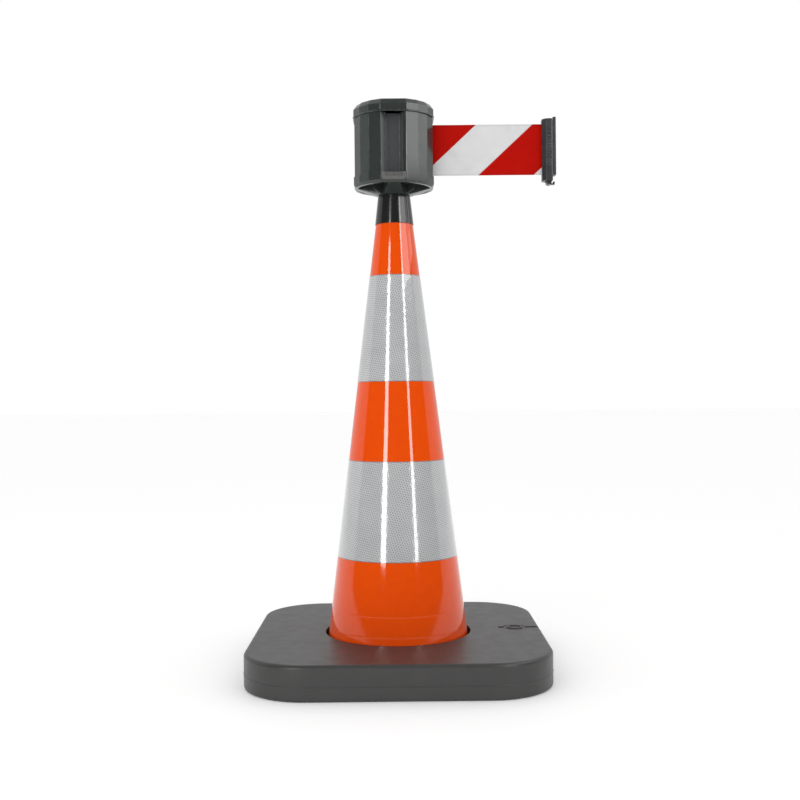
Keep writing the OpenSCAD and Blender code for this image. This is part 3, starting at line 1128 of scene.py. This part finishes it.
def joined(name: str, forms: Sequence[Form]) -> Form:
    """Joins forms into one object of separate solids."""
    bm = bmesh.new()
    for form in forms:
        bm.from_mesh(form.data)
        bpy.data.objects.remove(form)
    mesh = bpy.data.meshes.new(name)
    bm.to_mesh(mesh)
    bm.free()
    whole = bpy.data.objects.new(name, mesh)
    bpy.context.scene.collection.objects.link(whole)
    return smooth(whole, 28.0)


def solids(node: str) -> List[Tuple[Vector, Vector]]:
    """The boxes of the separate solids in a CAD node, from its welded mesh."""
    bm = bmesh.new()
    bm.from_mesh(frame["nodes"][node].data)
    bmesh.ops.remove_doubles(bm, verts=bm.verts, dist=WELD)
    left = set(bm.verts)
    boxes = []
    while left:
        group = [left.pop()]
        for vert in group:
            for edge in vert.link_edges:
                other = edge.other_vert(vert)
                if other in left:
                    left.discard(other)
                    group.append(other)
        low = Vector([min(vert.co[i] for vert in group) for i in range(3)])
        high = Vector([max(vert.co[i] for vert in group) for i in range(3)])
        boxes.append((low, high))
    bm.free()
    return sorted(boxes, key=lambda pair: tuple(round(c, 5) for c in pair[0]))


@dataclass
class Collar(SubAssembly):
    """The collar that caps the cone's tip, with the screw that holds the stem."""

    edge_mm: float = 0.45
    screw_turn: float = -13.0
    body = "collar"

    def build(self) -> None:
        """Builds the collar and its screw."""
        edge = self.edge_mm * MM
        collar = smooth(soften(copied("tip_collar", "collar"), edge, 30.0, 0.9), 26.0)
        self.add(collar, "collar_black", COLLAR_PLASTIC, "collar")
        low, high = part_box("stem_screw")
        middle = (low.z + high.z) / 2
        angle = math.radians(self.screw_turn)
        out = Vector((math.sin(angle), -math.cos(angle), 0))
        reach = max(Vector(p.co).dot(out) for p in frame["nodes"]["stem_screw"].data.vertices)
        head = ScrewHead(radius_mm=2.6, height_mm=1.5, shank_mm=1.7, length_mm=10.6)
        seat = out * (reach - head.height_mm * MM) + Vector((0, 0, middle))
        turn = Vector((0, 0, 1)).rotation_difference(out).to_matrix().to_4x4()
        screw = moved(head.form("collar_screw"), Matrix.Translation(seat) @ turn)
        self.add(screw, "black_steel", BLACK_STEEL, "stem_screw")


@dataclass
class BeltHead(SubAssembly):
    """The faceted head: covers, housing, slot blocks, screws and the works inside."""

    tie_mm: float = 52.0
    edge_mm: float = 0.8
    body = "head"

    def casing(self) -> None:
        """Builds the four casing pieces from the CAD shapes, with rounded edges."""
        pieces = (
            ("head_bottom_cover", "bottom_cover", self.edge_mm * 0.45, 25.0, HEAD_PLASTIC),
            ("head_housing", "housing", self.edge_mm * 0.75, 12.0, HOUSING_PLASTIC),
            ("head_slot_blocks", "slot_stops", self.edge_mm * 0.4, 12.0, BLOCK_PLASTIC),
            ("head_top_cap", "top_cap", self.edge_mm, 12.0, HEAD_PLASTIC),
        )
        for name, node, width, least_turn, finish in pieces:
            form = smooth(soften(copied(name, node), width * MM, least_turn), 16.0)
            self.add(form, "head_plastic", finish, node)

    def screws(self) -> None:
        """Builds the four long screws that clamp the covers."""
        low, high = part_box("cover_screws")
        head = ScrewHead(3.8, 3.2, 2.0, (high.z - low.z) / MM - 3.2)
        over = Matrix.Rotation(math.pi, 4, "X")
        seat, reach = low.z + head.height_mm * MM, self.tie_mm * MM
        forms = []
        for turn in (45, 135, 225, 315):
            angle = math.radians(turn)
            place = Matrix.Translation((reach * math.cos(angle), reach * math.sin(angle), seat))
            forms.append(moved(head.form("screw"), place @ over))
        self.add(joined("head_screws", forms), "zinc_steel", ZINC, "cover_screws")

    def build(self) -> None:
        """Builds the casing and screws and dresses the works inside."""
        self.casing()
        self.screws()
        self.dress(COLLAR_PLASTIC, "head_stem")
        self.dress(ZINC, "drum_axle", "axle_clip")
        self.dress(CLIP_PLASTIC, "belt_guide")
        self.dress(SPRING_STEEL, "return_spring")


@dataclass
class BeltDrum(SubAssembly):
    """The spring drum with the wound part of the belt."""

    strip_mm: float = 0.5
    pitch_mm: float = 0.55
    hub_mm: float = 21.3
    turn_steps: int = 56
    body = "drum"

    def wound_belt(self) -> Tuple[Form, float]:
        """Winds the stored belt on the drum.

        Returns:
            The wound strip and its length.
        """
        low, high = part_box("belt_coil")
        outer = high.x - self.strip_mm * MM
        inner = self.hub_mm * MM
        turns = (outer - inner) / (self.pitch_mm * MM)
        steps = int(turns * self.turn_steps)
        rings, length = [], 0.0
        last = None
        for i in range(steps + 1):
            angle = -math.tau * turns * i / steps
            radius = inner + (outer - inner) * i / steps
            out = Vector((math.cos(angle), math.sin(angle), 0))
            near, far = out * radius, out * (radius + self.strip_mm * MM)
            length += (near - last).length if last else 0.0
            last = near
            corners = ((near, low.z), (far, low.z), (far, high.z), (near, high.z))
            rings.append([(p.x, p.y, z) for p, z in corners])
        bm = bmesh.new()
        stitch(bm, rings, closed=False)
        return keep("wound_belt", bm), length

    def build(self) -> None:
        """Winds the belt and dresses the drum."""
        belt, length = self.wound_belt()
        store(belt, "belt_height", [vert.co.z for vert in belt.data.vertices])
        self.add(smooth(belt, 40.0), "belt_webbing", WEBBING, "belt_coil")
        self.dress(NYLON, "drum", "drum_lid")


@dataclass
class Belt(SubAssembly):
    """The free run of the belt, from the coil's side to the loop on the clip's pin."""

    strip_mm: float = 0.55
    hem_mm: float = 0.3
    hem_width_mm: float = 2.5
    selvedge_mm: float = 0.2
    coil_mm: float = 31.6
    pin_mm: float = 1.7
    loop_mm: float = 2.6
    step_mm: float = 1.1
    ripple_mm: float = 0.9
    slack: Tuple[float, float] = (0.07, 0.238)
    body = "clip"

    def path(self) -> List[Vector]:
        """The belt's centre line in plan, from the coil to the end of the pin's loop."""
        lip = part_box("belt")[0].x
        coil = self.coil_mm * MM
        turn = math.acos(coil / lip)
        start = Vector((coil * math.cos(-turn), coil * math.sin(-turn), 0))
        bend = Vector((lip + 0.6 * MM, 0, 0))
        inward = [start.lerp(bend, i / 12) for i in range(11)]
        pin_low, pin_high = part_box("belt_pin")
        pin = (pin_low.x + pin_high.x) / 2
        mouth = pin - self.loop_mm * MM
        half = self.strip_mm / 2 * MM
        run = []
        x = lip + 2.5 * MM
        while x < mouth - 0.5 * MM:
            aside = min(1.0, max(0.0, (x - mouth + 0.012) / 0.008))
            run.append(Vector((x, half * aside, 0)))
            x += self.step_mm * MM
        run.append(Vector((mouth, half, 0)))
        loop = (self.pin_mm + 0.15) * MM + half
        ring = [Vector((pin + x, y, 0)) for x, y in arc((0, 0), loop, 162, -162, 30)]
        back = [Vector((mouth - step * MM, -half, 0)) for step in (0.0, 1.2, 2.3)]
        return inward + run + ring + back

    def strip(self) -> Tuple[Form, float]:
        """Builds the hemmed strip along the path.

        Returns:
            The strip and the length of its centre line.
        """
        low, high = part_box("belt")
        line = self.path()
        width, hem = high.z - low.z, self.hem_width_mm * MM
        rim, fold = self.selvedge_mm * MM, hem * 1.3
        levels = [0.0, rim, hem * 0.9, hem, fold]
        levels += [fold + (width - 2 * fold) * i / 10 for i in range(1, 10)]
        levels += [width - level for level in (fold, hem, hem * 0.9, rim, 0.0)]
        slack_from, slack_to = self.slack
        rings, length = [], 0.0
        for i, point in enumerate(line):
            ahead = (line[min(i + 1, len(line) - 1)] - line[max(i - 1, 0)]).normalized()
            side = Vector((-ahead.y, ahead.x, 0))
            length += (point - line[i - 1]).length if i else 0.0
            free = min(1.0, max(0.0, (point.x - slack_from) / 0.04))
            free *= min(1.0, max(0.0, (slack_to - point.x) / 0.04))
            near, far = [], []
            for level in levels:
                inset = min(level, width - level)
                half = self.strip_mm / 2 * MM
                if hem * 0.5 > inset > rim / 2 or inset == levels[2]:
                    half += self.hem_mm / 2 * MM
                if inset < rim / 2:
                    half -= 0.12 * MM
                ripple = noise.noise((point.x * 22, level * 16, 0.4)) * self.ripple_mm * MM * free
                height = Vector((0, 0, low.z + level))
                near.append(point + side * (ripple + half) + height)
                far.append(point + side * (ripple - half) + height)
            rings.append([tuple(p) for p in near + far[::-1]])
        bm = bmesh.new()
        stitch(bm, rings, closed=False)
        return keep("belt_run", bm), length

    def build(self) -> None:
        """Builds the run and leaves it on no body."""
        belt, length = self.strip()
        store(belt, "belt_height", [vert.co.z for vert in belt.data.vertices])
        self.add(smooth(belt, 50.0), "belt_webbing", WEBBING, "belt", "belt_feed", ride=False)
        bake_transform(belt)


@dataclass
class BeltClip(SubAssembly):
    """The clip on the belt's end: two ribbed halves, tongue, pin and screws."""

    edge_mm: float = 0.4
    wire_mm: float = 0.35
    coils: int = 7
    body = "clip"

    def spring(self) -> Form:
        """The latch's coil spring."""
        low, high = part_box("latch_spring")
        wire = self.wire_mm * MM
        middle = (low + high) / 2
        reach = (high.x - low.x) / 2 - wire
        rise = high.z - low.z - 2 * wire
        steps = self.coils * 24
        line = []
        for i in range(steps + 1):
            angle = math.tau * self.coils * i / steps
            x, y = middle.x + reach * math.cos(angle), middle.y + reach * math.sin(angle)
            line.append(Vector((x, y, low.z + wire + rise * i / steps)))
        return smooth(swept("latch_coil", line, wire), 50.0)

    def screws(self) -> Form:
        """The two screws that hold the clip's halves together."""
        head = ScrewHead(2.6, 2.2, 1.25, 20.0)
        forms = []
        for low, high in solids("clip_screws"):
            middle = (low + high) / 2
            seat = Vector((middle.x, high.y - head.height_mm * MM, middle.z))
            turn = Matrix.Rotation(-math.pi / 2, 4, "X")
            forms.append(moved(head.form("screw"), Matrix.Translation(seat) @ turn))
        return joined("clip_halves_screws", forms)

    def build(self) -> None:
        """Builds the clip's pieces."""
        moulded = {
            "clip_front_half": "clip_front",
            "clip_back_half": "clip_back",
            "clip_tongue_plate": "clip_tongue",
        }
        for name, node in moulded.items():
            form = smooth(soften(copied(name, node), self.edge_mm * MM, 20.0, 1.5), 24.0)
            self.add(form, "clip_plastic", CLIP_PLASTIC, node)
        self.add(self.screws(), "zinc_steel", ZINC, "clip_screws")
        self.dress(ZINC, "belt_pin")
        coil = self.add(self.spring(), "spring_steel", SPRING_STEEL, "latch_spring")
        low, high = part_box("latch_spring")
        travel = next(j for j in frame["joints"] if j["name"] == "latch_press")["range_m"][1]
        keep_share = 1 - travel / (high.z - low.z)
        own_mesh(coil)


@dataclass
class Latch(SubAssembly):
    """The spring latch at the clip's foot."""

    body = "latch"

    def build(self) -> None:
        """Builds the latch."""
        form = smooth(soften(copied("latch_button", "latch"), 0.3 * MM, 20.0, 0.8), 24.0)
        self.add(form, "clip_plastic", CLIP_PLASTIC, "latch")


# ---- studio ----


class Seen(Enum):
    """What a studio light shows up in."""

    REFLECTION = "reflection"
    DIFFUSE = "diffuse"


@dataclass
class Panel:
    """A flat studio light that faces the object's axis."""

    name: str
    bearing: float
    distance: float
    low: float
    high: float
    width: float
    power: float
    seen: Seen

    def build(self) -> None:
        """Places the light; its bearing is in degrees from the front, + to the right."""
        light = bpy.data.lights.new(self.name, "AREA")
        light.shape = "RECTANGLE"
        light.size = self.width
        light.size_y = self.high - self.low
        light.energy = self.power
        lamp = bpy.data.objects.new(self.name, light)
        bpy.context.scene.collection.objects.link(lamp)
        angle = math.radians(self.bearing)
        out = Vector((math.sin(angle), -math.cos(angle), 0))
        lamp.location = out * self.distance + Vector((0, 0, (self.low + self.high) / 2))
        lamp.rotation_euler = out.to_track_quat("Z", "Y").to_euler()
        lamp.visible_camera = False
        lamp.visible_diffuse = self.seen is Seen.DIFFUSE
        lamp.visible_glossy = self.seen is Seen.REFLECTION


@dataclass
class Studio:
    """A white studio: pale floor, white surroundings, two strips and a side panel."""

    floor_size: float = 60.0
    background: float = 1.0
    dark_to: float = -0.06
    pale_from: float = 0.02
    distance: float = 1.76
    eye: float = 0.437
    lens: float = 48.0
    yaw: float = -0.213
    pitch: float = -0.16
    roll: float = -0.55
    front_tone: float = 0.06
    side_tone: float = 0.78
    fill: float = 0.95

    def floor(self) -> None:
        """Lays the floor."""
        half = self.floor_size / 2
        bm = bmesh.new()
        corners = ((-half, -half, 0), (half, -half, 0), (half, half, 0), (-half, half, 0))
        bm.faces.new([bm.verts.new(corner) for corner in corners])
        floor = keep("floor", bm)
        floor.data.materials.append(StudioFloor().material())

    def surroundings(self) -> None:
        """Lights the scene from all round, with a darker stretch in front for the gloss."""
        world = bpy.data.worlds.new("studio")
        bpy.context.scene.world = world
        world.use_nodes = True
        nodes, links = world.node_tree.nodes, world.node_tree.links
        nodes.clear()
        place = nodes.new("ShaderNodeTexCoord")
        parts = nodes.new("ShaderNodeSeparateXYZ")
        links.new(place.outputs["Generated"], parts.inputs[0])
        shade = nodes.new("ShaderNodeMapRange")
        shade.interpolation_type = "SMOOTHSTEP"
        links.new(parts.outputs["Y"], shade.inputs["Value"])
        limits = {
            "From Min": self.dark_to,
            "From Max": self.pale_from,
            "To Min": self.front_tone,
            "To Max": self.side_tone,
        }
        for name, number in limits.items():
            shade.inputs[name].default_value = number
        path = nodes.new("ShaderNodeLightPath")
        glossy = nodes.new("ShaderNodeMix")
        links.new(path.outputs["Is Glossy Ray"], glossy.inputs[0])
        glossy.inputs[2].default_value = self.fill
        links.new(shade.outputs[0], glossy.inputs[3])
        seen = nodes.new("ShaderNodeMix")
        links.new(path.outputs["Is Camera Ray"], seen.inputs[0])
        links.new(glossy.outputs[0], seen.inputs[2])
        seen.inputs[3].default_value = self.background
        light = nodes.new("ShaderNodeBackground")
        light.inputs["Color"].default_value = (1.0, 1.0, 1.0, 1.0)
        links.new(seen.outputs[0], light.inputs["Strength"])
        output = nodes.new("ShaderNodeOutputWorld")
        links.new(light.outputs[0], output.inputs["Surface"])

    def lights(self) -> None:
        """Hangs the strips, the side panel and the soft key light."""
        panels = (
            Panel("left strip", -26.6, 3.0, 0.42, 1.9, 0.5, 30.0, Seen.REFLECTION),
            Panel("right strip", 36.2, 3.0, 0.42, 2.4, 0.34, 22.7, Seen.REFLECTION),
            Panel("side panel", 55.0, 1.2, 1.02, 1.9, 0.87, 10.5, Seen.REFLECTION),
            Panel("far panel", 92.0, 1.2, 1.02, 1.9, 0.65, 3.6, Seen.REFLECTION),
            Panel("key", -25.0, 2.6, 0.9, 2.6, 2.4, 14.0, Seen.DIFFUSE),
        )
        for panel in panels:
            panel.build()

    def camera(self) -> None:
        """Sets the camera level in front of the post."""
        data = bpy.data.cameras.new("camera")
        data.lens = self.lens
        data.sensor_width = 36.0
        camera = bpy.data.objects.new("camera", data)
        bpy.context.scene.collection.objects.link(camera)
        camera.location = (0, -self.distance, self.eye)
        look = Matrix.Rotation(math.radians(self.yaw), 4, "Z")
        look @= Matrix.Rotation(math.radians(90 + self.pitch), 4, "X")
        look @= Matrix.Rotation(math.radians(self.roll), 4, "Z")
        camera.rotation_euler = look.to_euler()
        bpy.context.scene.camera = camera
        bpy.context.scene.view_settings.view_transform = "Standard"

    def build(self) -> None:
        """Builds the studio."""
        self.floor()
        self.surroundings()
        self.lights()
        self.camera()
        LOG.info("studio: floor, surroundings, lights and camera")


def main() -> None:
    """Builds the studio and every sub-assembly in order."""
    logging.basicConfig(level=logging.INFO, format="%(name)s: %(message)s")
    outside = (Studio(), BallastBase(), FillPlug(), Cone(), Collar())
    belted = (BeltHead(), BeltDrum(), Belt(), BeltClip(), Latch())
    for group in outside + belted:
        group.build()


if __name__ == "__main__":
    main()
